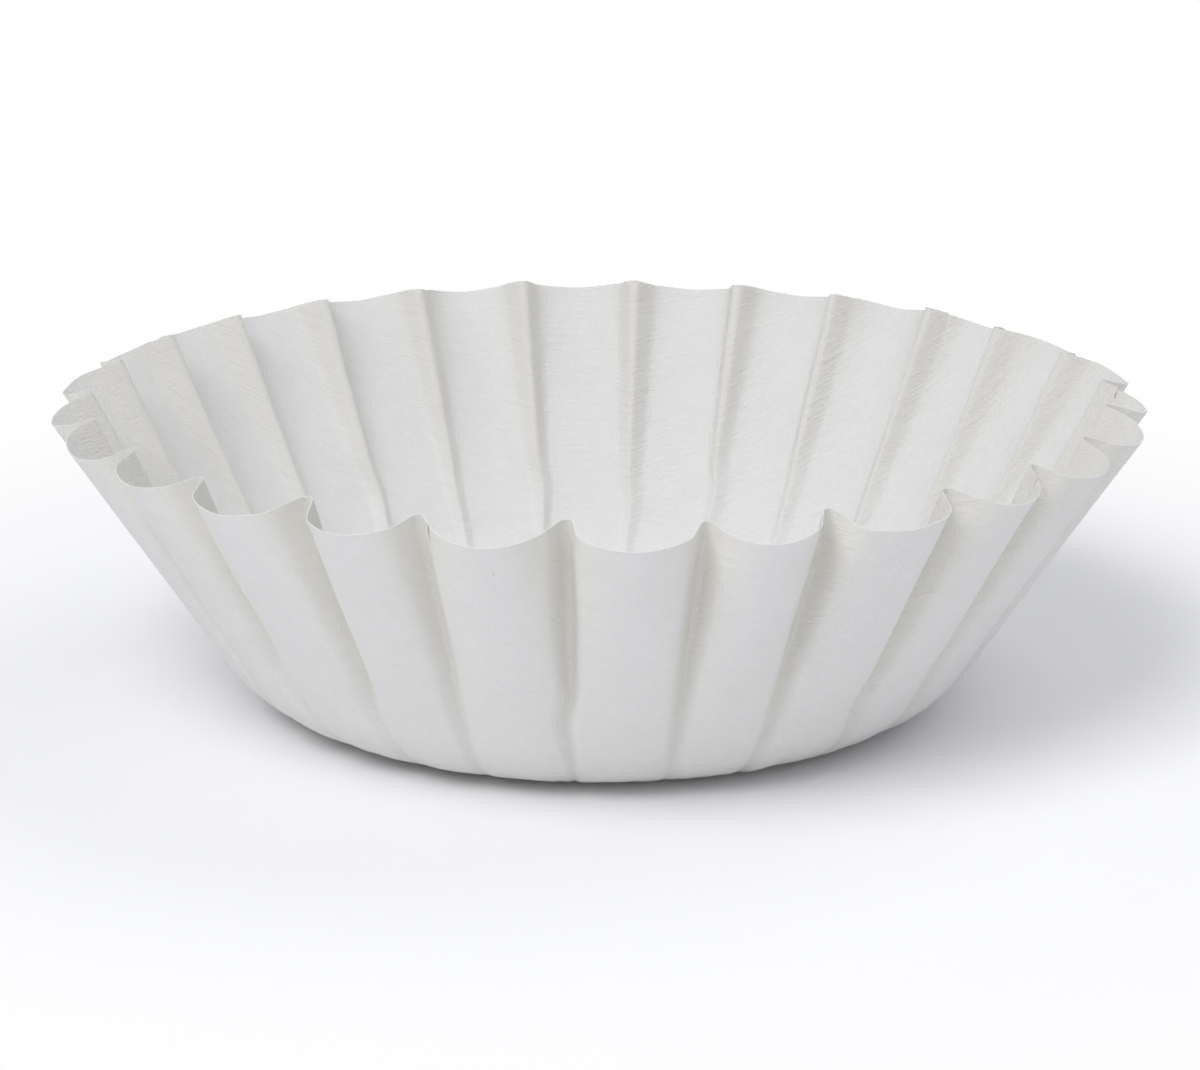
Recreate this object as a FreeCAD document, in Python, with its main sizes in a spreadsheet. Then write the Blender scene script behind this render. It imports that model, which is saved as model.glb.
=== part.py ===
# A paper coffee filter for a basket brewer: one round sheet of thin creped paper, pressed into a cup
# with a flat round floor, a rounded foot and a flared wall of narrow grooves between arched panels.
# The frame has its origin at the centre of the floor's underside, +Z up along the cup's axis.
# Sizes are in millimetres and angles in degrees.
import FreeCAD, Part
import Sketcher
import math
import os

# The flutes' depth, opening and radii are given at the rim. Each flute share is the part of them
# that is left lower down: where the floor meets the foot, and where the foot meets the wall.
SIZES = {
    "flute_count": 26,
    "blank_diameter": 247.65,
    "paper_thickness": 0.15,
    "floor_radius": 50.0,
    "foot_bend_radius": 23.4,
    "wall_slope": 57.0,
    "flute_depth": 7.4,
    "groove_opening": 6.0,
    "panel_bend_radius": 19.0,
    "shoulder_radius": 2.5,
    "root_radius": 1.15,
    "floor_flute_share": 0.08,
    "foot_flute_share": 0.25,
    "rim_rise": 3.2,
}

# The wall is made this many rim rises taller than the panels, so that it can be trimmed.
SPARE_RISES = 1.2

# The wall is as long as the round sheet leaves it once the floor and the foot's bend are taken off.
# It is trimmed by a cone to the rim's own line: at the rim height in the middle of the panels, and
# higher by the rim rise at the roots of the grooves. The cone's peak is on the cup's axis.
DERIVED = {
    "wall_length": (
        "sizes.blank_diameter / 2 - sizes.floor_radius"
        " - sizes.foot_bend_radius * sizes.wall_slope * pi / 180"
    ),
    "foot_height": "sizes.foot_bend_radius * (1 - cos(sizes.wall_slope))",
    "foot_radius": "sizes.floor_radius + sizes.foot_bend_radius * sin(sizes.wall_slope)",
    "rim_height": "derived.foot_height + derived.wall_length * sin(sizes.wall_slope)",
    "rim_radius": "derived.foot_radius + derived.wall_length * cos(sizes.wall_slope)",
    "top_height": f"derived.rim_height + {SPARE_RISES} * sizes.rim_rise",
    "trim_fall": "sizes.rim_rise / sizes.flute_depth",
    "trim_peak": "derived.rim_height + derived.rim_radius * derived.trim_fall",
    "trim_reach": "derived.rim_radius + 2 * sizes.flute_depth",
    "trim_low": "derived.trim_peak - derived.trim_reach * derived.trim_fall",
}

FOOT_BANDS = 3
SHOULDER_STEPS = 2
HALF_PANEL_STEPS = 2
FLUTE_GROWTH = 1.5


def polar(radius, angle):
    return FreeCAD.Vector(radius * math.cos(angle), radius * math.sin(angle), 0)


def arc_points(centre, radius, first, last, steps):
    return [centre + polar(radius, first + (last - first) * n / steps) for n in range(steps + 1)]


def half_flute(sheet, radius, share, inset):
    """Points from the root of a groove, which is flat across the X axis, to the middle of the panel
    beside it. radius is at that middle, share is how much of the rim's flute this level has, and
    inset is how far the points lie inside the paper's outer face. Root, flank, shoulder and panel
    are tangent to each other."""
    half_pitch = math.pi / sheet.flute_count
    bend = 1 / ((1 - share) / radius + share / sheet.panel_bend_radius)
    shoulder = share * sheet.shoulder_radius
    root = share * sheet.root_radius
    panel_centre = polar(radius - bend, half_pitch)
    root_centre = polar(radius - share * sheet.flute_depth + root, 0)
    across = share * sheet.groove_opening / 2 + shoulder
    along = math.sqrt((bend - shoulder) ** 2 - (across - panel_centre.y) ** 2)
    shoulder_centre = FreeCAD.Vector(panel_centre.x + along, across, 0)

    apart = shoulder_centre - root_centre
    square = math.atan2(apart.y, apart.x) + math.acos((root + shoulder) / apart.Length)
    outward = shoulder_centre - panel_centre
    turn = math.atan2(outward.y, outward.x)
    return [
        root_centre + polar(root + inset, square),
        *arc_points(shoulder_centre, shoulder - inset, square - math.pi, turn, SHOULDER_STEPS),
        *arc_points(panel_centre, bend - inset, turn, half_pitch, HALF_PANEL_STEPS)[1:],
    ]


def cup_outline(sheet, radius, share, inset):
    """The closed wavy outline of the cup at one level."""
    half = [(p.Length, math.atan2(p.y, p.x)) for p in half_flute(sheet, radius, share, inset)]
    pitch = 2 * math.pi / sheet.flute_count
    points = []
    for flute in range(int(sheet.flute_count)):
        start = flute * pitch
        points += [polar(length, start + angle) for length, angle in half]
        points += [polar(length, start + pitch - angle) for length, angle in half[-2::-1]]
    return [Part.LineSegment(a, b) for a, b in zip(points, points[1:] + points[:1])]


def skin_outline(sheet, derived, height, depth):
    """The outline at a height of the paper's outer face, or of the face that lies a depth inside it."""
    bend = sheet.foot_bend_radius - depth
    slope = math.radians(sheet.wall_slope)
    level = (sheet.foot_bend_radius - height) / bend
    if level > math.cos(slope):
        angle = math.acos(min(1, level))
        growth = (angle / slope) ** FLUTE_GROWTH
        share = sheet.floor_flute_share
        share += (sheet.foot_flute_share - sheet.floor_flute_share) * growth
        radius = sheet.floor_radius + sheet.foot_bend_radius * math.sin(angle)
    else:
        angle = slope
        climb = (height - sheet.foot_bend_radius + bend * math.cos(slope)) / math.sin(slope)
        share = sheet.foot_flute_share
        share += (1 - sheet.foot_flute_share) * climb / derived.wall_length
        radius = derived.foot_radius + climb * math.cos(slope)
    return cup_outline(sheet, radius, share, depth * math.sin(angle))


def add_sketch(body, name, role):
    sketch = body.newObject("Sketcher::SketchObject", name)
    plane = [feature for feature in body.Origin.OriginFeatures if feature.Role == role][0]
    sketch.AttachmentSupport = [(plane, "")]
    sketch.MapMode = "FlatFace"
    return sketch


def add_section(body, name, sheet, derived, height, depths):
    """A level sketch at the height that the expression gives, with an outline for each depth."""
    sketch = add_sketch(body, name, "XY_Plane")
    sketch.setExpression("AttachmentOffset.Base.z", height)
    sketch.recompute()
    level = sketch.AttachmentOffset.Base.z
    for depth in depths:
        sketch.addGeometry(skin_outline(sheet, derived, level, depth), False)
    return sketch


def add_loft(body, name, sections):
    loft = body.newObject("PartDesign::AdditiveLoft", name)
    loft.Profile = sections[0]
    loft.Sections = sections[1:]
    loft.Ruled = True
    loft.Refine = False
    return loft


def add_floor(body, sheet, derived):
    """The flat floor, one paper thickness high, with the foot's first curve at its edge."""
    heights = ("0", "sizes.paper_thickness")
    sections = [
        add_section(body, f"floor_level_{n}", sheet, derived, height, [0])
        for n, height in enumerate(heights)
    ]
    return add_loft(body, "floor", sections)


def add_wall(body, sheet, derived):
    """The foot and the wall, lofted between rings that are the paper's two faces."""
    heights = ["sizes.paper_thickness"]
    for band in range(1, FOOT_BANDS + 1):
        bent = f"sizes.wall_slope * {band} / {FOOT_BANDS}"
        heights.append(f"sizes.foot_bend_radius * (1 - cos({bent}))")
    heights.append("derived.top_height")
    sections = [
        add_section(body, f"wall_level_{n}", sheet, derived, height, [0, sheet.paper_thickness])
        for n, height in enumerate(heights)
    ]
    return add_loft(body, "wall", sections)


def add_rim_trim(body, derived):
    """Turns a triangle about the axis to cut off all that is above the rim's line."""
    sketch = add_sketch(body, "rim_line", "XZ_Plane")
    corners = [
        FreeCAD.Vector(0, derived.trim_peak, 0),
        FreeCAD.Vector(derived.trim_reach, derived.trim_low, 0),
        FreeCAD.Vector(derived.trim_reach, derived.trim_peak, 0),
    ]
    for start, end in zip(corners, corners[1:] + corners[:1]):
        sketch.addGeometry(Part.LineSegment(start, end), False)
    for line in range(3):
        sketch.addConstraint(Sketcher.Constraint("Coincident", line, 2, (line + 1) % 3, 1))
    sketch.addConstraint(Sketcher.Constraint("PointOnObject", 0, 1, -2))
    sketch.addConstraint(Sketcher.Constraint("Vertical", 1))
    sketch.addConstraint(Sketcher.Constraint("Horizontal", 2))
    for kind, line, name in (
        ("DistanceY", 0, "trim_peak"),
        ("DistanceX", 1, "trim_reach"),
        ("DistanceY", 1, "trim_low"),
    ):
        value = getattr(derived, name)
        index = sketch.addConstraint(Sketcher.Constraint(kind, -1, 1, line, 1, value))
        sketch.renameConstraint(index, name)
        sketch.setExpression(f"Constraints.{name}", f"derived.{name}")

    trim = body.newObject("PartDesign::Groove", "rim_trim")
    trim.Profile = sketch
    trim.ReferenceAxis = (sketch, ["V_Axis"])
    trim.Angle = 360
    trim.Refine = False
    return trim


def make_document():
    doc = FreeCAD.newDocument("coffee_filter")
    sheet = doc.addObject("Spreadsheet::Sheet", "sizes")
    for row, (name, value) in enumerate(SIZES.items(), start=1):
        sheet.set(f"A{row}", name)
        sheet.set(f"B{row}", str(value))
        sheet.setAlias(f"B{row}", name)
    derived = doc.addObject("App::VarSet", "derived")
    for name, expression in DERIVED.items():
        derived.addProperty("App::PropertyFloat", name)
        derived.setExpression(name, expression)
    doc.recompute()

    body = doc.addObject("PartDesign::Body", "paper_filter")
    body.Label = "paper_filter"
    add_floor(body, sheet, derived)
    doc.recompute()
    add_wall(body, sheet, derived)
    doc.recompute()
    untrimmed = body.Shape.Volume
    add_rim_trim(body, derived)
    doc.recompute()
    if body.Shape.Volume >= untrimmed:
        raise RuntimeError("the rim was not trimmed")
    return doc


def check(doc):
    for item in doc.Objects:
        if "Invalid" in item.State or "Error" in item.State:
            raise RuntimeError(f"{item.Label} failed: {item.State}")
    for body in bodies(doc):
        if body.Shape.isNull() or not body.Shape.isValid() or len(body.Shape.Solids) != 1:
            raise RuntimeError(f"{body.Label} is not one valid solid")


def bodies(doc):
    return [item for item in doc.Objects if item.TypeId == "PartDesign::Body"]


def export(doc):
    os.makedirs("parts", exist_ok=True)
    for body in bodies(doc):
        body.Shape.exportStep(os.path.join("parts", f"{body.Label}.step"))
        print(body.Label, len(body.Shape.Faces), "faces", round(body.Shape.Volume, 2), "mm3")


document = make_document()
check(document)
export(document)
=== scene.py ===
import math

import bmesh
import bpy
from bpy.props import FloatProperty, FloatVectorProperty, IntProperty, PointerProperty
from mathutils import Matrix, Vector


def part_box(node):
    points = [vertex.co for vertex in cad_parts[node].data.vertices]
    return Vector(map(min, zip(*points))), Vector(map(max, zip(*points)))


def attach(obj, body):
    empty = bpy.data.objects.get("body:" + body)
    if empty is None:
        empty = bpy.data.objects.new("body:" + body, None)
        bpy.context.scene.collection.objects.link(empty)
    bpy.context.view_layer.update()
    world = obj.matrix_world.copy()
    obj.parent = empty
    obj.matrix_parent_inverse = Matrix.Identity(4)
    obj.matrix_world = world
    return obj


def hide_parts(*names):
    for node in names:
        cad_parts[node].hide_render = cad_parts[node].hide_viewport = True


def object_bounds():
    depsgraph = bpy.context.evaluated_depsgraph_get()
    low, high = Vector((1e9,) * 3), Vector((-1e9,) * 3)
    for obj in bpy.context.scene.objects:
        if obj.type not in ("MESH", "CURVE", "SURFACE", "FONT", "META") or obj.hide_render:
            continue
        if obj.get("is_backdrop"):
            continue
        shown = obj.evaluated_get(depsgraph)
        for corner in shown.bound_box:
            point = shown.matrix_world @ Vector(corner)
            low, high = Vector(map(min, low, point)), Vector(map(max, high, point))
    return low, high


bl_info = {
    "name": "Paper coffee filter",
    "version": (1, 0, 0),
    "blender": (4, 5, 0),
    "location": "View3D > Sidebar > Coffee filter",
    "description": "Makes a fluted basket filter of thin creped paper, and a plain stage for it",
    "category": "Add Mesh",
}

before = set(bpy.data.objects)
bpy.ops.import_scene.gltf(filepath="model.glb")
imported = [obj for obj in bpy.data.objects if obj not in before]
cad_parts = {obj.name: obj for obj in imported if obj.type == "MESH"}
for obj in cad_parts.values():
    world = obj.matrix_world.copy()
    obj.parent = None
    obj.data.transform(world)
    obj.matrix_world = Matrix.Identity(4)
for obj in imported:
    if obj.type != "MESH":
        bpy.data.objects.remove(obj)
solid_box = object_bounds()

MM = 0.001
WHITE = (1.0, 1.0, 1.0, 1.0)

# Columns of the grid along half a flute, from the root of the groove to the middle of the panel.
ROOT_COLUMNS = 3
FLANK_COLUMNS = 3
SHOULDER_COLUMNS = 6
PANEL_COLUMNS = 5
HALF_FLUTE_COLUMNS = ROOT_COLUMNS + FLANK_COLUMNS + SHOULDER_COLUMNS + PANEL_COLUMNS

# Rows of the grid along the sheet, from its centre to the rim. Each band is a number of rows and
# the distance along the sheet that it ends at, as a share of the sheet's radius.
ROW_BANDS = ((4, 0.34), (18, 0.6), (32, 1.0))
ROWS = sum(rows for rows, end in ROW_BANDS)

# The grid's points at the seam and at the centre lie closer together than this, and are merged.
MERGE_DISTANCE = 0.001 * MM

# Attributes that the mesh keeps for the paper's material.
SHEET_PLACE = "sheet_place"
# The second one places the painted shade in the grooves, by how deep a point lies in one.
PAINTED_FOLD_SHADE = "fold_closeness"

# The folds start inside the floor's edge, at this share of the floor's radius. A level's share of
# the rim's flute is a power of how far it lies from there to the rim. The bends and the depth are
# powers of that share, so lower down the folds are shallower and softer than they are narrow.
FOLD_START = 0.88
SHARE_POWER = 1.38
BEND_POWER = 0.72
DEPTH_POWER = 1.1

# The sheet is plain at the least share, and has all of its fold's shape at the full one. The
# flute's outline isn't worked out at any smaller radius than the least.
LEAST_SHARE = 0.002
FULL_SHARE = 0.06
LEAST_RADIUS = 5 * MM

# How much the flutes differ. A draw's place in this list is part of its seed.
SPREADS = {
    "opening": 0.09,  # half a groove's mouth, by the groove opening
    "depth": 0.07,  # a groove's depth, by the flute depth
    "arch": 0.22,  # a panel's bend, by the panel bend
    "shift": 0.045,  # a groove's place round the cup, by the pitch
    "lean": 0.05,  # how far its root lies aside at the full depth, by the pitch
    "pinch": 0.03,  # where along the sheet it is pinched, by the sheet's radius
    "jog": 0.07,  # how far it goes aside where it is pinched, by the pitch
    "foot": 0.055,  # how far it goes aside below that, by the pitch
}
DRAWS_PER_SEED = 16

# A groove is pinched where the wall starts to bend over, at a share of the sheet's radius, and is
# this much shallower there. Its lower end goes aside between the foot's two shares. A groove moves
# its half of a panel less and less from a share of the way to the panel's middle.
PINCH_PLACE = 0.645
PINCH_REACH = 0.075
PINCH_LOSS = 0.14
FOOT_ASIDE = (0.46, 0.64)
PANEL_HOLD = 0.66

# The rim's line slides along the wall by noise that is read round a circle. It does so, and rises
# at the grooves, only beyond a share of the sheet's radius. What rises also leans outwards, less
# at the root of a groove. Seen from above, the rim is a little oval.
RIM_ZONE = 0.8
CUT_HEIGHT = 1.3 * MM
CUT_SCALE = 5.0
CUT_DETAIL = 4.0
RISE_POWER = 0.8
RISE_OUTWARD = 0.65
RISE_OUTWARD_LOSS = 0.15
OVAL = 0.004
OVAL_TURN = 0.7

# The grooves' painted shade, a darker and warmer colour, starts and is full at these depths below
# the panel, by the flute depth.
PAINTED_SHADE_DEPTHS = (0.02, 0.44)

# Waves in the paper, as heights by the cockle. Places are shares of the sheet's radius.
FOOT_PLACE = 0.5
FOOT_REACH = 0.16
FLOOR_PLACES = (0.3, 0.42)
WALL_PLACES = (0.45, 0.9)
SMALL_WAVES = {"scale": 110.0, "detail": 2.0}
SMALL_HEIGHT = 0.55
SMALL_HEIGHT_AT_FOOT = 0.6
SMALL_LOSS_ON_FLOOR = 0.3
SLOW_WAVES = {"scale": 34.0, "detail": 1.0}
SLOW_HEIGHT = 0.3
SLOW_HEIGHT_ON_WALL = 2.6
PUCKERS_ROUND = 17.0
PUCKERS_ALONG = 5.0
PUCKER_HEIGHT = 2.4

# No point of the outer face lies below this height or beyond this reach.
LEAST_HEIGHT = 0.02 * MM
FAR = 1.0

# Edges of the mesh that turn by more than this are the paper's cut edge.
CUT_EDGE_ANGLE = math.radians(65)

# Patterns in the paper: scale along and across the flat sheet, for each metre, then the noise's
# detail and roughness, then how much goes into the relief and into the thin places.
PATTERNS = {
    "crepe": ((150.0, 1150.0), 3.0, 0.6, 0.7, 0.2),
    "fibres": ((2600.0, 2600.0), 2.0, 0.6, 0.5, 0.4),
    "grain": ((700.0, 700.0), 3.0, 0.6, 0.0, 0.4),
    "clouds": ((120.0, 120.0), 4.0, 0.62, 0.8, 0.5),
    "patches": ((28.0, 28.0), 2.0, 0.5, 0.0, 0.35),
}
THIN_REACH = 0.7
# How much of the painted fold shade goes into the paper's colour.
PAINTED_SHADE_AMOUNT = 0.75

# Specks lie in cells, for each metre. A share of the cells has one, with a soft edge.
SPECK_SCALE = 75.0
SPECK_EDGE = (0.008, 0.016)
SPECK_STRENGTH = 0.75
SPECK_SHARE = 0.22

PAPER_ROUGHNESS = 0.88
PAPER_SPECULAR = 0.25

# The floor's radius, and the distances between which it goes to plain white, in metres.
STAGE_RADIUS = 4.0
STAGE_SIDES = 128
STAGE_FADE = (0.1, 0.25)

# For each lamp, the setting that has its power, its side and its place, in metres.
LAMPS = {
    "key": ("key_power", 0.8, (-0.6, -0.85, 1.25)),
    "fill": ("fill_power", 1.3, (0.85, 0.45, 1.15)),
}

SENSOR_WIDTH = 36.0
CLIP_START = 0.01


class Socket:
    """A node's output. Python's own operators on it add Math nodes."""

    def __init__(self, nodes, link):
        self.nodes = nodes
        self.link = link

    def __add__(self, other):
        return self.nodes.math("ADD", self, other)

    __radd__ = __add__

    def __sub__(self, other):
        return self.nodes.math("SUBTRACT", self, other)

    def __rsub__(self, other):
        return self.nodes.math("SUBTRACT", other, self)

    def __mul__(self, other):
        return self.nodes.math("MULTIPLY", self, other)

    __rmul__ = __mul__

    def __truediv__(self, other):
        return self.nodes.math("DIVIDE", self, other)

    def __rtruediv__(self, other):
        return self.nodes.math("DIVIDE", other, self)

    def __pow__(self, other):
        return self.nodes.math("POWER", self, other)


class Nodes:
    """Adds nodes to one tree."""

    def __init__(self, tree):
        self.tree = tree
        tree.nodes.clear()

    def add(self, kind, settings=None, inputs=None, output=0):
        """A new node: its settings are made first, and then its sockets' values or links."""
        node = self.tree.nodes.new(kind)
        for name, value in (settings or {}).items():
            setattr(node, name, value)
        for key, value in (inputs or {}).items():
            if isinstance(value, Socket):
                self.tree.links.new(value.link, node.inputs[key])
            else:
                node.inputs[key].default_value = value
        return Socket(self, node.outputs[output]) if len(node.outputs) else node

    def math(self, operation, *values):
        return self.add("ShaderNodeMath", {"operation": operation}, dict(enumerate(values)))

    def least(self, a, b):
        return self.math("MINIMUM", a, b)

    def most(self, a, b):
        return self.math("MAXIMUM", a, b)

    def size_of(self, value):
        return self.math("ABSOLUTE", value)

    def sin(self, angle):
        return self.math("SINE", angle)

    def cos(self, angle):
        return self.math("COSINE", angle)

    def length(self, x, y):
        return self.math("SQRT", x * x + y * y)

    def angle(self, y, x):
        return self.math("ARCTAN2", y, x)

    def ease(self, value, low, high, start=0.0, end=1.0):
        """Goes smoothly from start to end while value goes from low to high."""
        settings = {"interpolation_type": "SMOOTHSTEP"}
        inputs = {0: value, 1: low, 2: high, 3: start, 4: end}
        return self.add("ShaderNodeMapRange", settings, inputs)

    def ramp(self, value, low, high, start=0.0, end=1.0):
        """Goes straight from start to end while value goes from low to high, and stays there."""
        return self.add("ShaderNodeMapRange", None, {0: value, 1: low, 2: high, 3: start, 4: end})

    def blend(self, factor, a, b):
        return a + factor * (b - a)

    def vector(self, x, y, z):
        return self.add("ShaderNodeCombineXYZ", None, {0: x, 1: y, 2: z})

    def part(self, vector, axis):
        return self.add("ShaderNodeSeparateXYZ", None, {0: vector}, output=axis)

    def vector_math(self, operation, a, b, output=0):
        return self.add("ShaderNodeVectorMath", {"operation": operation}, {0: a, 1: b}, output)

    def length_of(self, vector):
        return self.vector_math("LENGTH", vector, (0.0, 0.0, 0.0), "Value")

    def mix_colours(self, factor, a, b):
        return self.add("ShaderNodeMix", {"data_type": "RGBA"}, {0: factor, 6: a, 7: b}, output=2)

    def noise(self, place, scale, detail=2.0, roughness=0.5):
        """Smooth noise about zero, from about -1 to 1."""
        inputs = {"Vector": place, "Scale": scale, "Detail": detail, "Roughness": roughness}
        return self.add("ShaderNodeTexNoise", None, inputs) * 2.0 - 1.0


def opaque(colour):
    return (*colour, 1.0)


class FilterShape(bpy.types.PropertyGroup):
    flute_count: IntProperty(
        name="Flutes", description="Grooves round the rim", default=26, min=8
    )
    sheet_radius: FloatProperty(
        name="Sheet radius", description="Radius of the flat sheet before it is pressed",
        default=123.825 * MM, unit="LENGTH",
    )
    thickness: FloatProperty(
        name="Paper thickness", description="Thickness of the paper",
        default=0.15 * MM, unit="LENGTH",
    )
    floor_radius: FloatProperty(
        name="Floor radius", description="Radius of the flat floor",
        default=50 * MM, unit="LENGTH",
    )
    foot_radius: FloatProperty(
        name="Foot bend", description="Radius of the bend between the floor and the wall",
        default=23.4 * MM, unit="LENGTH",
    )
    wall_slope: FloatProperty(
        name="Wall slope", description="Angle of the wall from level",
        default=math.radians(57), subtype="ANGLE",
    )
    flute_depth: FloatProperty(
        name="Flute depth", description="Depth of a groove at the rim",
        default=8.6 * MM, unit="LENGTH",
    )
    groove_opening: FloatProperty(
        name="Groove opening", description="Width of a groove's mouth at the rim",
        default=4.4 * MM, unit="LENGTH",
    )
    panel_radius: FloatProperty(
        name="Panel bend", description="Radius of a panel's arch at the rim",
        default=11.5 * MM, unit="LENGTH",
    )
    shoulder_radius: FloatProperty(
        name="Shoulder bend", description="Radius between a panel and a groove at the rim",
        default=4.4 * MM, unit="LENGTH",
    )
    root_radius: FloatProperty(
        name="Root bend", description="Radius at the bottom of a groove at the rim",
        default=1.1 * MM, unit="LENGTH",
    )
    rim_rise: FloatProperty(
        name="Rim rise", description="How much higher the rim is at a groove than on a panel",
        default=3 * MM, unit="LENGTH",
    )
    unevenness: FloatProperty(
        name="Unevenness", description="How much the flutes differ from each other",
        default=1.0, min=0.0, max=2.0, subtype="FACTOR",
    )
    cockle: FloatProperty(
        name="Cockle", description="Height of the paper's own waves",
        default=0.16 * MM, unit="LENGTH",
    )
    seed: IntProperty(name="Seed", description="Which unevenness is drawn", default=7)


class FilterPaper(bpy.types.PropertyGroup):
    white: FloatVectorProperty(
        name="Paper white", description="Colour of the paper",
        default=(0.882, 0.882, 0.88), subtype="COLOR", size=3, min=0.0, max=1.0,
    )
    cloudy: FloatVectorProperty(
        name="Thin places", description="Colour where the fibres lie thinner",
        default=(0.815, 0.813, 0.807), subtype="COLOR", size=3, min=0.0, max=1.0,
    )
    # Painted shade: a darker, warmer colour put in the grooves, where light falls off and bounces
    # between the folds.
    fold_shade_colour: FloatVectorProperty(
        name="Painted fold shade", description="Painted shade put in the grooves, darker and warmer than the paper",
        default=(0.82, 0.802, 0.746), subtype="COLOR", size=3, min=0.0, max=1.0,
    )
    speck: FloatVectorProperty(
        name="Specks", description="Colour of the few darker fibres",
        default=(0.5, 0.46, 0.4), subtype="COLOR", size=3, min=0.0, max=1.0,
    )
    glow: FloatVectorProperty(
        name="Glow", description="Colour of the light that comes through the paper",
        default=(0.93, 0.9, 0.82), subtype="COLOR", size=3, min=0.0, max=1.0,
    )
    through: FloatProperty(
        name="Light through", description="How much of the light comes through the paper",
        default=0.1, min=0.0, max=1.0, subtype="FACTOR",
    )
    crepe_height: FloatProperty(
        name="Crepe height", description="Height of the fine crepe wrinkles",
        default=0.2 * MM, precision=6, unit="LENGTH",
    )


class FilterStage(bpy.types.PropertyGroup):
    floor_colour: FloatVectorProperty(
        name="Floor", description="Colour of the floor",
        default=(0.95, 0.95, 0.952), subtype="COLOR", size=3, min=0.0, max=1.0,
    )
    room_light: FloatProperty(
        name="Room light", description="Light from all round", default=0.52, min=0.0
    )
    room_colour: FloatVectorProperty(
        name="Room colour", description="Colour of the light from all round",
        default=(0.935, 0.948, 1.0), subtype="COLOR", size=3, min=0.0, max=1.0,
    )
    key_power: FloatProperty(
        name="Key light", description="Power of the lamp at the upper left, on the camera's side",
        default=13.5, subtype="POWER", unit="POWER",
    )
    fill_power: FloatProperty(
        name="Fill light", description="Power of the lamp at the upper right, behind the filter",
        default=4.5, subtype="POWER", unit="POWER",
    )
    camera_distance: FloatProperty(
        name="Camera distance", description="Distance from the camera to the filter",
        default=612 * MM, unit="LENGTH",
    )
    camera_height: FloatProperty(
        name="Camera angle", description="Angle of the camera above level",
        default=math.radians(16.2), subtype="ANGLE",
    )
    camera_turn: FloatProperty(
        name="Camera turn", description="Angle of the camera round the filter",
        default=math.radians(-2.75), subtype="ANGLE",
    )
    lens: FloatProperty(
        name="Lens", description="Focal length for a 36 mm wide frame", default=101.0
    )


# Which inputs the cup's tree has, and which of the shape's settings each one gets.
TREE_INPUTS = {
    "Flutes": ("NodeSocketInt", "flute_count"),
    "Sheet Radius": ("NodeSocketFloat", "sheet_radius"),
    "Floor Radius": ("NodeSocketFloat", "floor_radius"),
    "Foot Bend": ("NodeSocketFloat", "foot_radius"),
    "Wall Slope": ("NodeSocketFloat", "wall_slope"),
    "Flute Depth": ("NodeSocketFloat", "flute_depth"),
    "Groove Opening": ("NodeSocketFloat", "groove_opening"),
    "Panel Bend": ("NodeSocketFloat", "panel_radius"),
    "Shoulder Bend": ("NodeSocketFloat", "shoulder_radius"),
    "Root Bend": ("NodeSocketFloat", "root_radius"),
    "Rim Rise": ("NodeSocketFloat", "rim_rise"),
    "Unevenness": ("NodeSocketFloat", "unevenness"),
    "Cockle": ("NodeSocketFloat", "cockle"),
    "Seed": ("NodeSocketInt", "seed"),
}


def random_of(nodes, size, index, name):
    """A number from -1 to 1 for each whole index round the cup, from the draw of one name."""
    whole = nodes.math("FLOORED_MODULO", index, size["Flutes"])
    draw = list(SPREADS).index(name) + 1
    inputs = {2: -1.0, 3: 1.0, 7: whole, 8: size["Seed"] * DRAWS_PER_SEED + draw}
    value = nodes.add("FunctionNodeRandomValue", {"data_type": "FLOAT"}, inputs, output=1)
    return value * size["Unevenness"]


def spread_of(nodes, size, index, name):
    return SPREADS[name] * random_of(nodes, size, index, name)


def along_sheet(nodes, size, row):
    """How far along the sheet a row of the grid lies from the centre."""
    place, first, start = 0.0, 0, 0.0
    for rows, end in ROW_BANDS:
        place = nodes.ramp(row, first, first + rows, 0.0, end - start) + place
        first += rows
        start = end
    return place * size["Sheet Radius"]


def meridian(nodes, size, place):
    """Radius and height of the middle of a panel at a place along the sheet."""
    beyond_floor = nodes.most(place - size["Floor Radius"], 0.0)
    slope = nodes.least(beyond_floor / size["Foot Bend"], size["Wall Slope"])
    on_wall = nodes.most(beyond_floor - size["Foot Bend"] * size["Wall Slope"], 0.0)
    radius = nodes.least(place, size["Floor Radius"])
    radius = radius + size["Foot Bend"] * nodes.sin(slope) + on_wall * nodes.cos(slope)
    height = size["Foot Bend"] * (1.0 - nodes.cos(slope)) + on_wall * nodes.sin(slope)
    return radius, height


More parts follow.
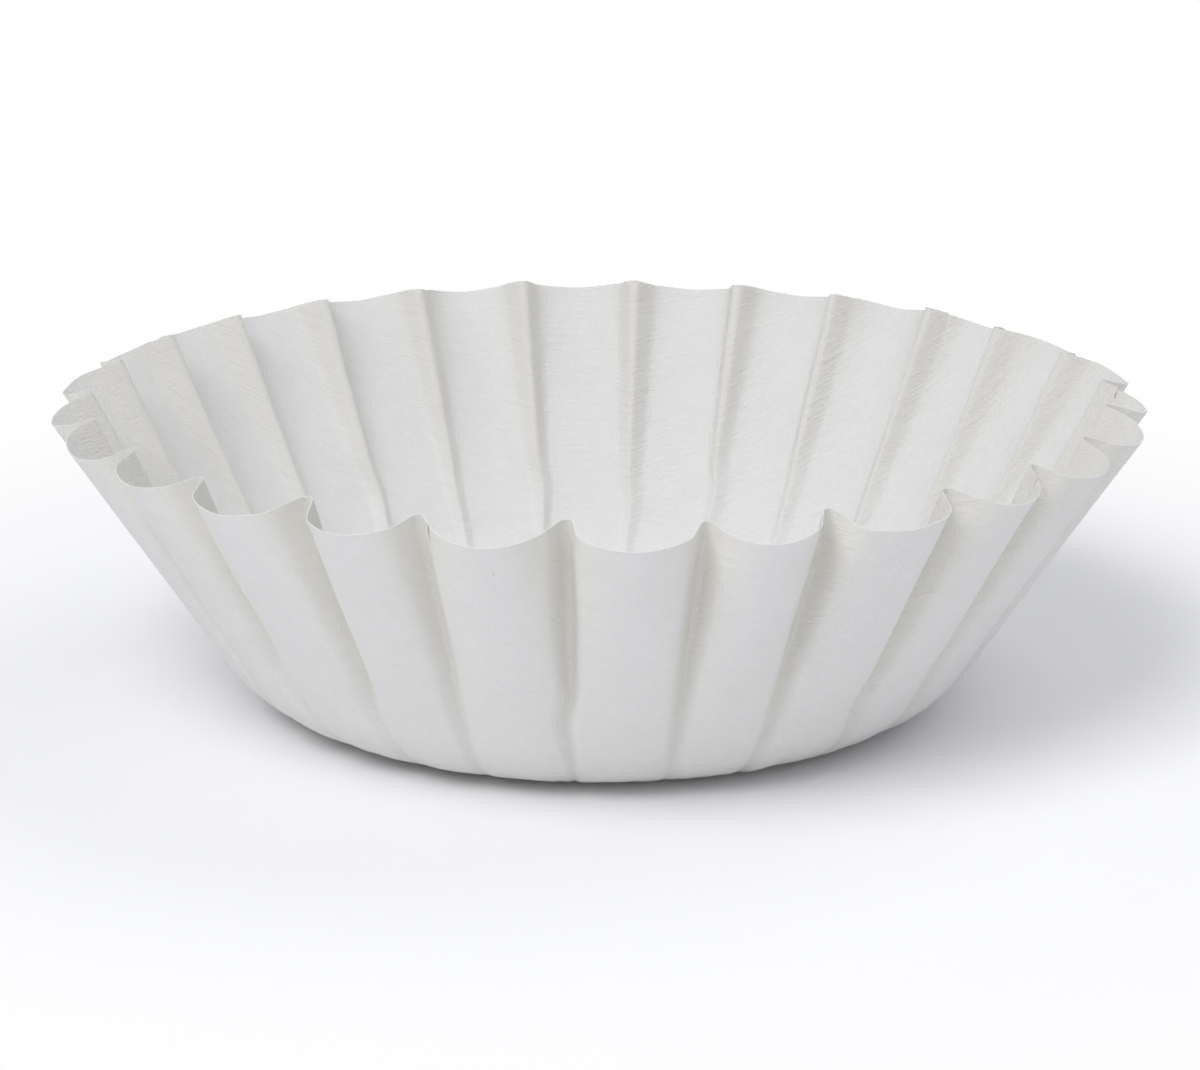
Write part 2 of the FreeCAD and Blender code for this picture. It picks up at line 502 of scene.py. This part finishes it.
def half_flute(nodes, size, radius, share, flute, column):
    """A point of half a flute: its distance from the axis and its angle from the groove's middle.
    Root, flank, shoulder and panel are tangent to each other. radius is at the middle of the panel,
    share is how much of the rim's flute this level has, and flute is how much this one differs."""
    half_pitch = math.pi / size["Flutes"]
    arch = size["Panel Bend"] * flute["arch"]
    bend = 1.0 / ((1.0 - share) / radius + share / arch)
    soft = share ** BEND_POWER
    shoulder = soft * size["Shoulder Bend"]
    root = soft * size["Root Bend"]
    depth = share ** DEPTH_POWER * size["Flute Depth"] * flute["depth"]
    panel_x = (radius - bend) * nodes.cos(half_pitch)
    panel_y = (radius - bend) * nodes.sin(half_pitch)
    root_x = radius - depth + root
    shoulder_y = soft * size["Groove Opening"] * flute["half opening"] + shoulder
    reach = bend - shoulder
    aside = shoulder_y - panel_y
    shoulder_x = panel_x + nodes.math("SQRT", reach * reach - aside * aside)

    apart = nodes.length(shoulder_x - root_x, shoulder_y)
    square = nodes.angle(shoulder_y, shoulder_x - root_x)
    square = square + nodes.math("ARCCOSINE", (root + shoulder) / apart)
    turn = nodes.angle(aside, shoulder_x - panel_x)

    done, first = [], 0
    for columns in (ROOT_COLUMNS, FLANK_COLUMNS, SHOULDER_COLUMNS, PANEL_COLUMNS):
        done.append(nodes.ramp(column, first, first + columns))
        first += columns
    on_root, on_flank, on_shoulder, on_panel = done
    root_angle = nodes.blend(on_root, math.pi, square)
    shoulder_start = square - math.pi
    shoulder_angle = nodes.blend(on_shoulder, shoulder_start, turn)
    panel_angle = nodes.blend(on_panel, turn, half_pitch)

    def across(part, root_middle, shoulder_middle):
        flank_start = root_middle + root * part(square)
        flank_end = shoulder_middle + shoulder * part(shoulder_start)
        return (
            root_middle + root * part(root_angle)
            + on_flank * (flank_end - flank_start)
            + shoulder * (part(shoulder_angle) - part(shoulder_start))
            + bend * (part(panel_angle) - part(turn))
        )

    x = across(nodes.cos, root_x, shoulder_x)
    y = across(nodes.sin, 0.0, shoulder_y)
    return nodes.length(x, y), nodes.angle(y, x)


def flat_grid(nodes, size):
    """A flat grid, and how many flutes round the cup and how many rows out each point is."""
    columns = size["Flutes"] * (2 * HALF_FLUTE_COLUMNS) + 1.0
    grid = nodes.add("GeometryNodeMeshGrid", None, {0: 1.0, 1: 1.0, 2: columns, 3: ROWS + 1})
    flat = nodes.add("GeometryNodeInputPosition")
    turns = (nodes.part(flat, "X") + 0.5) * size["Flutes"]
    row = (nodes.part(flat, "Y") + 0.5) * float(ROWS)
    return grid, turns, row


def pressed(nodes, size, turns, row):
    """Where the press puts each point, its place on the flat sheet, and how much painted shade it
    gets by how deep it lies in a groove.
    """
    groove = nodes.math("ROUND", turns)
    local = turns - groove
    side = nodes.math("SIGN", local)
    to_panel = nodes.size_of(local) * 2.0
    pitch = 2 * math.pi / size["Flutes"]

    # The rim's cut isn't quite level.
    place = along_sheet(nodes, size, row)
    near_rim = nodes.ramp(place / size["Sheet Radius"], RIM_ZONE, 1.0)
    near_rim = near_rim * near_rim
    circle = nodes.vector(nodes.cos(turns * pitch), nodes.sin(turns * pitch), 0.0)
    cut = nodes.noise(circle, CUT_SCALE, CUT_DETAIL) * size["Unevenness"] * CUT_HEIGHT
    place = place + near_rim * cut
    along = place / size["Sheet Radius"]

    radius, height = meridian(nodes, size, place)
    fluted = nodes.ramp(place, size["Floor Radius"] * FOLD_START, size["Sheet Radius"])
    share = nodes.most(nodes.most(fluted, 0.0) ** SHARE_POWER, LEAST_SHARE)
    kept = nodes.ease(share, LEAST_SHARE, FULL_SHARE)
    wide = nodes.most(radius, LEAST_RADIUS)

    # Where the wall starts to bend over, a groove is pinched and jogs to one side.
    off_pinch = along - (PINCH_PLACE + spread_of(nodes, size, groove, "pinch"))
    pinch = nodes.ease(nodes.size_of(off_pinch), 0.0, PINCH_REACH, 1.0, 0.0)
    jog = random_of(nodes, size, groove, "jog")
    lost = PINCH_LOSS * (pinch * nodes.size_of(jog))
    flute = {
        "half opening": 0.5 + spread_of(nodes, size, groove, "opening"),
        "depth": 1.0 + spread_of(nodes, size, groove, "depth") - lost,
        "arch": 1.0 + spread_of(nodes, size, nodes.math("FLOOR", turns), "arch"),
    }
    column = to_panel * float(HALF_FLUTE_COLUMNS)
    reach, angle = half_flute(nodes, size, wide, share, flute, column)
    folded = nodes.most(wide - reach, 0.0) / size["Flute Depth"]
    angle = nodes.blend(kept, to_panel * (0.5 * pitch), angle)
    reach = (wide - kept * (wide - reach)) * (radius / wide)

    # Each groove has its own place and lean. A panel's middle lies between its two grooves.
    toward_panel = nodes.ease(to_panel, PANEL_HOLD, 1.0)
    own = spread_of(nodes, size, groove, "shift")
    other = spread_of(nodes, size, groove + side, "shift")
    shift = nodes.blend(toward_panel * 0.5, own, other)
    lean = folded * spread_of(nodes, size, groove, "lean")
    below = nodes.ease(along, *FOOT_ASIDE, 1.0, 0.0)
    kink = pinch * jog * SPREADS["jog"] + below * spread_of(nodes, size, groove, "foot")
    kink = kink * (1.0 - toward_panel)
    around = groove * pitch + side * angle + kept * (shift + lean + kink) * pitch

    # The rim rises at the grooves.
    lift = near_rim * size["Rim Rise"] * folded ** RISE_POWER
    outward = lift * (RISE_OUTWARD - RISE_OUTWARD_LOSS * folded)
    oval = nodes.cos(2.0 * around + OVAL_TURN) * fluted * size["Unevenness"] * OVAL
    reach = (reach + outward) * (1.0 + oval)

    position = nodes.vector(reach * nodes.cos(around), reach * nodes.sin(around), height + lift)
    sheet = nodes.vector(place * nodes.cos(around), place * nodes.sin(around), 0.0)
    # The last value places the painted shade: how deep the point lies in a groove.
    return position, sheet, nodes.ease(folded, *PAINTED_SHADE_DEPTHS)


def stored(nodes, geometry, name, kind, value):
    """The geometry with a value of each of its points stored under a name."""
    settings = {"data_type": kind, "domain": "POINT"}
    inputs = {"Geometry": geometry, "Name": name, "Value": value}
    return nodes.add("GeometryNodeStoreNamedAttribute", settings, inputs)


def moved(nodes, geometry, position):
    inputs = {"Geometry": geometry, "Position": position}
    return nodes.add("GeometryNodeSetPosition", None, inputs)


def cockled(nodes, size, geometry):
    """Waves in the paper: small ones all over, slow ones on the wall, and puckers at the foot."""
    named = {"Name": SHEET_PLACE}
    sheet = nodes.add("GeometryNodeInputNamedAttribute", {"data_type": "FLOAT_VECTOR"}, named)
    place = nodes.length_of(sheet) / size["Sheet Radius"]
    position = nodes.add("GeometryNodeInputPosition")
    at_foot = nodes.ease(nodes.size_of(place - FOOT_PLACE), 0.0, FOOT_REACH, 1.0, 0.0)
    on_floor = nodes.ease(place, *FLOOR_PLACES, 1.0, 0.0)

    small = SMALL_HEIGHT + SMALL_HEIGHT_AT_FOOT * at_foot - SMALL_LOSS_ON_FLOOR * on_floor
    small = nodes.noise(position, **SMALL_WAVES) * small
    slow = nodes.ease(place, *WALL_PLACES) * SLOW_HEIGHT_ON_WALL + SLOW_HEIGHT
    slow = nodes.noise(position, **SLOW_WAVES) * slow
    outward = nodes.vector_math("NORMALIZE", sheet, (0.0, 0.0, 0.0))
    spokes = nodes.vector_math("MULTIPLY", outward, (PUCKERS_ROUND, PUCKERS_ROUND, 0.0))
    rings = nodes.vector(0.0, 0.0, place * PUCKERS_ALONG)
    pucker = nodes.noise(nodes.vector_math("ADD", spokes, rings), 1.0, 1.0)
    height = (small + slow + pucker * at_foot * PUCKER_HEIGHT) * size["Cockle"]

    normal = nodes.add("GeometryNodeInputNormal")
    push = nodes.add("ShaderNodeVectorMath", {"operation": "SCALE"}, {0: normal, 3: height})
    position = nodes.vector_math("ADD", position, push)
    position = nodes.vector_math("MAXIMUM", position, (-FAR, -FAR, LEAST_HEIGHT))
    return moved(nodes, geometry, position)


def cup_tree(paper):
    """The tree that presses a flat grid into the fluted cup."""
    tree = bpy.data.node_groups.new("fluted cup", "GeometryNodeTree")
    for name, (kind, source) in TREE_INPUTS.items():
        tree.interface.new_socket(name=name, in_out="INPUT", socket_type=kind)
    tree.interface.new_socket(name="Cup", in_out="OUTPUT", socket_type="NodeSocketGeometry")
    nodes = Nodes(tree)
    size = {name: nodes.add("NodeGroupInput", output=name) for name in TREE_INPUTS}

    cup, turns, row = flat_grid(nodes, size)
    position, sheet, fold = pressed(nodes, size, turns, row)
    cup = stored(nodes, cup, SHEET_PLACE, "FLOAT_VECTOR", sheet)
    # Painted shade for the grooves, by how deep each point lies in one.
    cup = stored(nodes, cup, PAINTED_FOLD_SHADE, "FLOAT", fold)
    cup = moved(nodes, cup, position)
    merging = {"Geometry": cup, "Distance": MERGE_DISTANCE}
    cup = nodes.add("GeometryNodeMergeByDistance", None, merging)
    cup = cockled(nodes, size, cup)
    cup = nodes.add("GeometryNodeSetShadeSmooth", None, {0: cup, "Shade Smooth": True})
    cup = nodes.add("GeometryNodeRealizeInstances", None, {0: cup})
    cup = nodes.add("GeometryNodeSetMaterial", None, {0: cup, "Material": paper})
    nodes.add("NodeGroupOutput", None, {0: cup})
    return tree


def specked(nodes, sheet, colour, speck_colour):
    """The colour with a few small darker fibres in it."""
    cells = {"Vector": sheet, "Scale": SPECK_SCALE}
    near = nodes.add("ShaderNodeTexVoronoi", None, cells, output="Distance")
    cell = nodes.add("ShaderNodeTexVoronoi", None, cells, output="Color")
    drawn = nodes.add("ShaderNodeSeparateColor", None, {0: cell})
    speck = nodes.ease(near, *SPECK_EDGE, SPECK_STRENGTH, 0.0)
    speck = speck * nodes.math("LESS_THAN", drawn, SPECK_SHARE)
    return nodes.mix_colours(speck, colour, opaque(speck_colour))


def paper_material(look):
    """White filter paper: fine crepe, cloudy fibres, a few specks, painted shade in the grooves,
    and some light through it.
    """
    material = bpy.data.materials.new("creped filter paper")
    material.use_nodes = True
    nodes = Nodes(material.node_tree)
    sheet = nodes.add("ShaderNodeAttribute", {"attribute_name": SHEET_PLACE}, output="Vector")
    fold = nodes.add("ShaderNodeAttribute", {"attribute_name": PAINTED_FOLD_SHADE}, output="Fac")

    relief = thin = 0.0
    for scales, detail, roughness, in_relief, in_thin in PATTERNS.values():
        place = nodes.vector_math("MULTIPLY", sheet, (*scales, 0.0))
        pattern = nodes.noise(place, 1.0, detail, roughness)
        thin = pattern * in_thin + thin
        if in_relief:
            relief = pattern * in_relief + relief

    thin = nodes.ramp(thin, -THIN_REACH, THIN_REACH)
    colour = nodes.mix_colours(thin, opaque(look.white), opaque(look.cloudy))
    # Painted shade: the grooves get a darker, warmer colour, standing in for the shade and the warm
    # bounced light between the folds.
    colour = nodes.mix_colours(fold * PAINTED_SHADE_AMOUNT, colour, opaque(look.fold_shade_colour))
    colour = specked(nodes, sheet, colour, look.speck)
    wrinkles = {"Strength": 1.0, "Distance": look.crepe_height, "Height": relief}
    bump = nodes.add("ShaderNodeBump", None, wrinkles)
    surface = nodes.add(
        "ShaderNodeBsdfPrincipled", None,
        {
            "Base Color": colour, "Roughness": PAPER_ROUGHNESS,
            "Specular IOR Level": PAPER_SPECULAR, "Normal": bump,
        },
    )
    glow = nodes.add("ShaderNodeBsdfTranslucent", None, {"Color": opaque(look.glow)})
    mixed = nodes.add("ShaderNodeMixShader", None, {0: look.through, 1: surface, 2: glow})
    nodes.add("ShaderNodeOutputMaterial", None, {"Surface": mixed})
    return material


def keep_only_mesh(maker, name):
    """Makes the object a plain mesh, with what its modifiers give."""
    bpy.context.view_layer.update()
    graph = bpy.context.evaluated_depsgraph_get()
    mesh = bpy.data.meshes.new_from_object(maker.evaluated_get(graph), depsgraph=graph)
    start = maker.data
    maker.modifiers.clear()
    maker.data = mesh
    maker.name = mesh.name = name
    bpy.data.meshes.remove(start)


def sharpen_cut_edge(mesh):
    """Keeps the rim's cut edge crisp, where the paper's two faces meet its narrow edge."""
    work = bmesh.new()
    work.from_mesh(mesh)
    for edge in work.edges:
        if len(edge.link_faces) == 2 and edge.calc_face_angle(0.0) > CUT_EDGE_ANGLE:
            edge.smooth = False
    work.to_mesh(mesh)
    work.free()


class OBJECT_OT_filter_cup(bpy.types.Operator):
    """Press a sheet of paper into the fluted cup of the filter"""
    bl_idname = "object.filter_cup"
    bl_label = "Paper filter"

    def execute(self, context):
        shape = context.scene.filter_shape
        paper = paper_material(context.scene.filter_paper)
        mesh = bpy.data.meshes.new("flat sheet")
        cup = bpy.data.objects.new("fluted_paper_cup", mesh)
        context.scene.collection.objects.link(cup)
        press = cup.modifiers.new("press", "NODES")
        press.node_group = cup_tree(paper)
        for item in press.node_group.interface.items_tree:
            if item.in_out == "INPUT":
                press[item.identifier] = getattr(shape, TREE_INPUTS[item.name][1])
        thicken = cup.modifiers.new("thickness", "SOLIDIFY")
        thicken.thickness = shape.thickness
        thicken.offset = -1.0
        thicken.use_even_offset = False
        keep_only_mesh(cup, "fluted_paper_cup")
        if not cup.data.polygons:
            raise RuntimeError("the cup has no faces")
        sharpen_cut_edge(cup.data)
        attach(cup, "root")
        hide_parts("paper_filter")
        return {"FINISHED"}


def stage_floor(look):
    """A wide pale floor that keeps the shadow and goes to plain white further out."""
    bpy.ops.mesh.primitive_circle_add(
        vertices=STAGE_SIDES, radius=STAGE_RADIUS, fill_type="NGON"
    )
    floor = bpy.context.object
    floor.name = floor.data.name = "stage_floor"
    material = bpy.data.materials.new("pale floor")
    material.use_nodes = True
    nodes = Nodes(material.node_tree)
    away = nodes.length_of(nodes.add("ShaderNodeTexCoord", output="Object"))
    seen = nodes.add("ShaderNodeLightPath", output="Is Camera Ray")
    matt = nodes.add("ShaderNodeBsdfDiffuse", None, {"Color": opaque(look.floor_colour)})
    white = nodes.add("ShaderNodeEmission", None, {"Color": WHITE})
    factor = nodes.ease(away, *STAGE_FADE) * seen
    mixed = nodes.add("ShaderNodeMixShader", None, {0: factor, 1: matt, 2: white})
    nodes.add("ShaderNodeOutputMaterial", None, {"Surface": mixed})
    floor.data.materials.append(material)
    return floor


def stage_world(look):
    """Soft even light from all round, which the camera sees as white."""
    world = bpy.data.worlds.new("soft room")
    world.use_nodes = True
    nodes = Nodes(world.node_tree)
    seen = nodes.add("ShaderNodeLightPath", output="Is Camera Ray")
    colour = nodes.mix_colours(seen, opaque(look.room_colour), WHITE)
    strength = nodes.blend(seen, look.room_light, 1.0)
    background = nodes.add("ShaderNodeBackground", None, {"Color": colour, "Strength": strength})
    nodes.add("ShaderNodeOutputWorld", None, {"Surface": background})
    return world


def area_lamp(name, power, side, place, target):
    """A square lamp at a place, turned to the target."""
    lamp = bpy.data.lights.new(name, "AREA")
    lamp.energy = power
    lamp.size = side
    holder = bpy.data.objects.new(name, lamp)
    holder.location = place
    holder.rotation_euler = (Vector(target) - Vector(place)).to_track_quat("-Z", "Y").to_euler()
    bpy.context.scene.collection.objects.link(holder)


def stage_camera(look, centre):
    """A camera that looks at the centre from the stage's angles and distance."""
    camera = bpy.data.cameras.new("camera")
    camera.lens = look.lens
    camera.sensor_width = SENSOR_WIDTH
    camera.clip_start = CLIP_START
    holder = bpy.data.objects.new("camera", camera)
    level = look.camera_distance * math.cos(look.camera_height)
    offset = Vector((
        level * math.sin(look.camera_turn),
        -level * math.cos(look.camera_turn),
        look.camera_distance * math.sin(look.camera_height),
    ))
    holder.location = centre + offset
    holder.rotation_euler = (-offset).to_track_quat("-Z", "Y").to_euler()
    bpy.context.scene.collection.objects.link(holder)
    return holder


class OBJECT_OT_filter_stage(bpy.types.Operator):
    """Set up the floor, the lamps, the room's light and the camera"""
    bl_idname = "object.filter_stage"
    bl_label = "Stage"

    def execute(self, context):
        scene = context.scene
        look = scene.filter_stage
        stage_floor(look)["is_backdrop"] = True
        scene.world = stage_world(look)
        low, high = (Vector(corner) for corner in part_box("paper_filter"))
        centre = (low + high) * 0.5
        for name, (power, side, place) in LAMPS.items():
            area_lamp(name, getattr(look, power), side, place, centre)
        scene.camera = stage_camera(look, centre)
        scene.view_settings.view_transform = "Standard"
        return {"FINISHED"}


class VIEW3D_PT_filter(bpy.types.Panel):
    bl_label = "Paper coffee filter"
    bl_idname = "VIEW3D_PT_coffee_filter"
    bl_space_type = "VIEW_3D"
    bl_region_type = "UI"
    bl_category = "Coffee filter"

    def draw(self, context):
        layout = self.layout
        for operator in (OBJECT_OT_filter_cup, OBJECT_OT_filter_stage):
            layout.operator(operator.bl_idname)
        for group, kind in SETTINGS.items():
            box = layout.box()
            for name in kind.__annotations__:
                box.prop(getattr(context.scene, group), name)


SETTINGS = {
    "filter_shape": FilterShape,
    "filter_paper": FilterPaper,
    "filter_stage": FilterStage,
}
CLASSES = (*SETTINGS.values(), OBJECT_OT_filter_cup, OBJECT_OT_filter_stage, VIEW3D_PT_filter)


def register():
    for cls in CLASSES:
        bpy.utils.register_class(cls)
    for name, group in SETTINGS.items():
        setattr(bpy.types.Scene, name, PointerProperty(type=group))


def unregister():
    for name in SETTINGS:
        delattr(bpy.types.Scene, name)
    for cls in reversed(CLASSES):
        bpy.utils.unregister_class(cls)


def main():
    register()
    bpy.ops.object.filter_cup()
    bpy.ops.object.filter_stage()
    boxes = {"cad": solid_box, "visual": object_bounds()}
    boxes = {name: [list(corner) for corner in box] for name, box in boxes.items()}


if __name__ == "__main__":
    main()
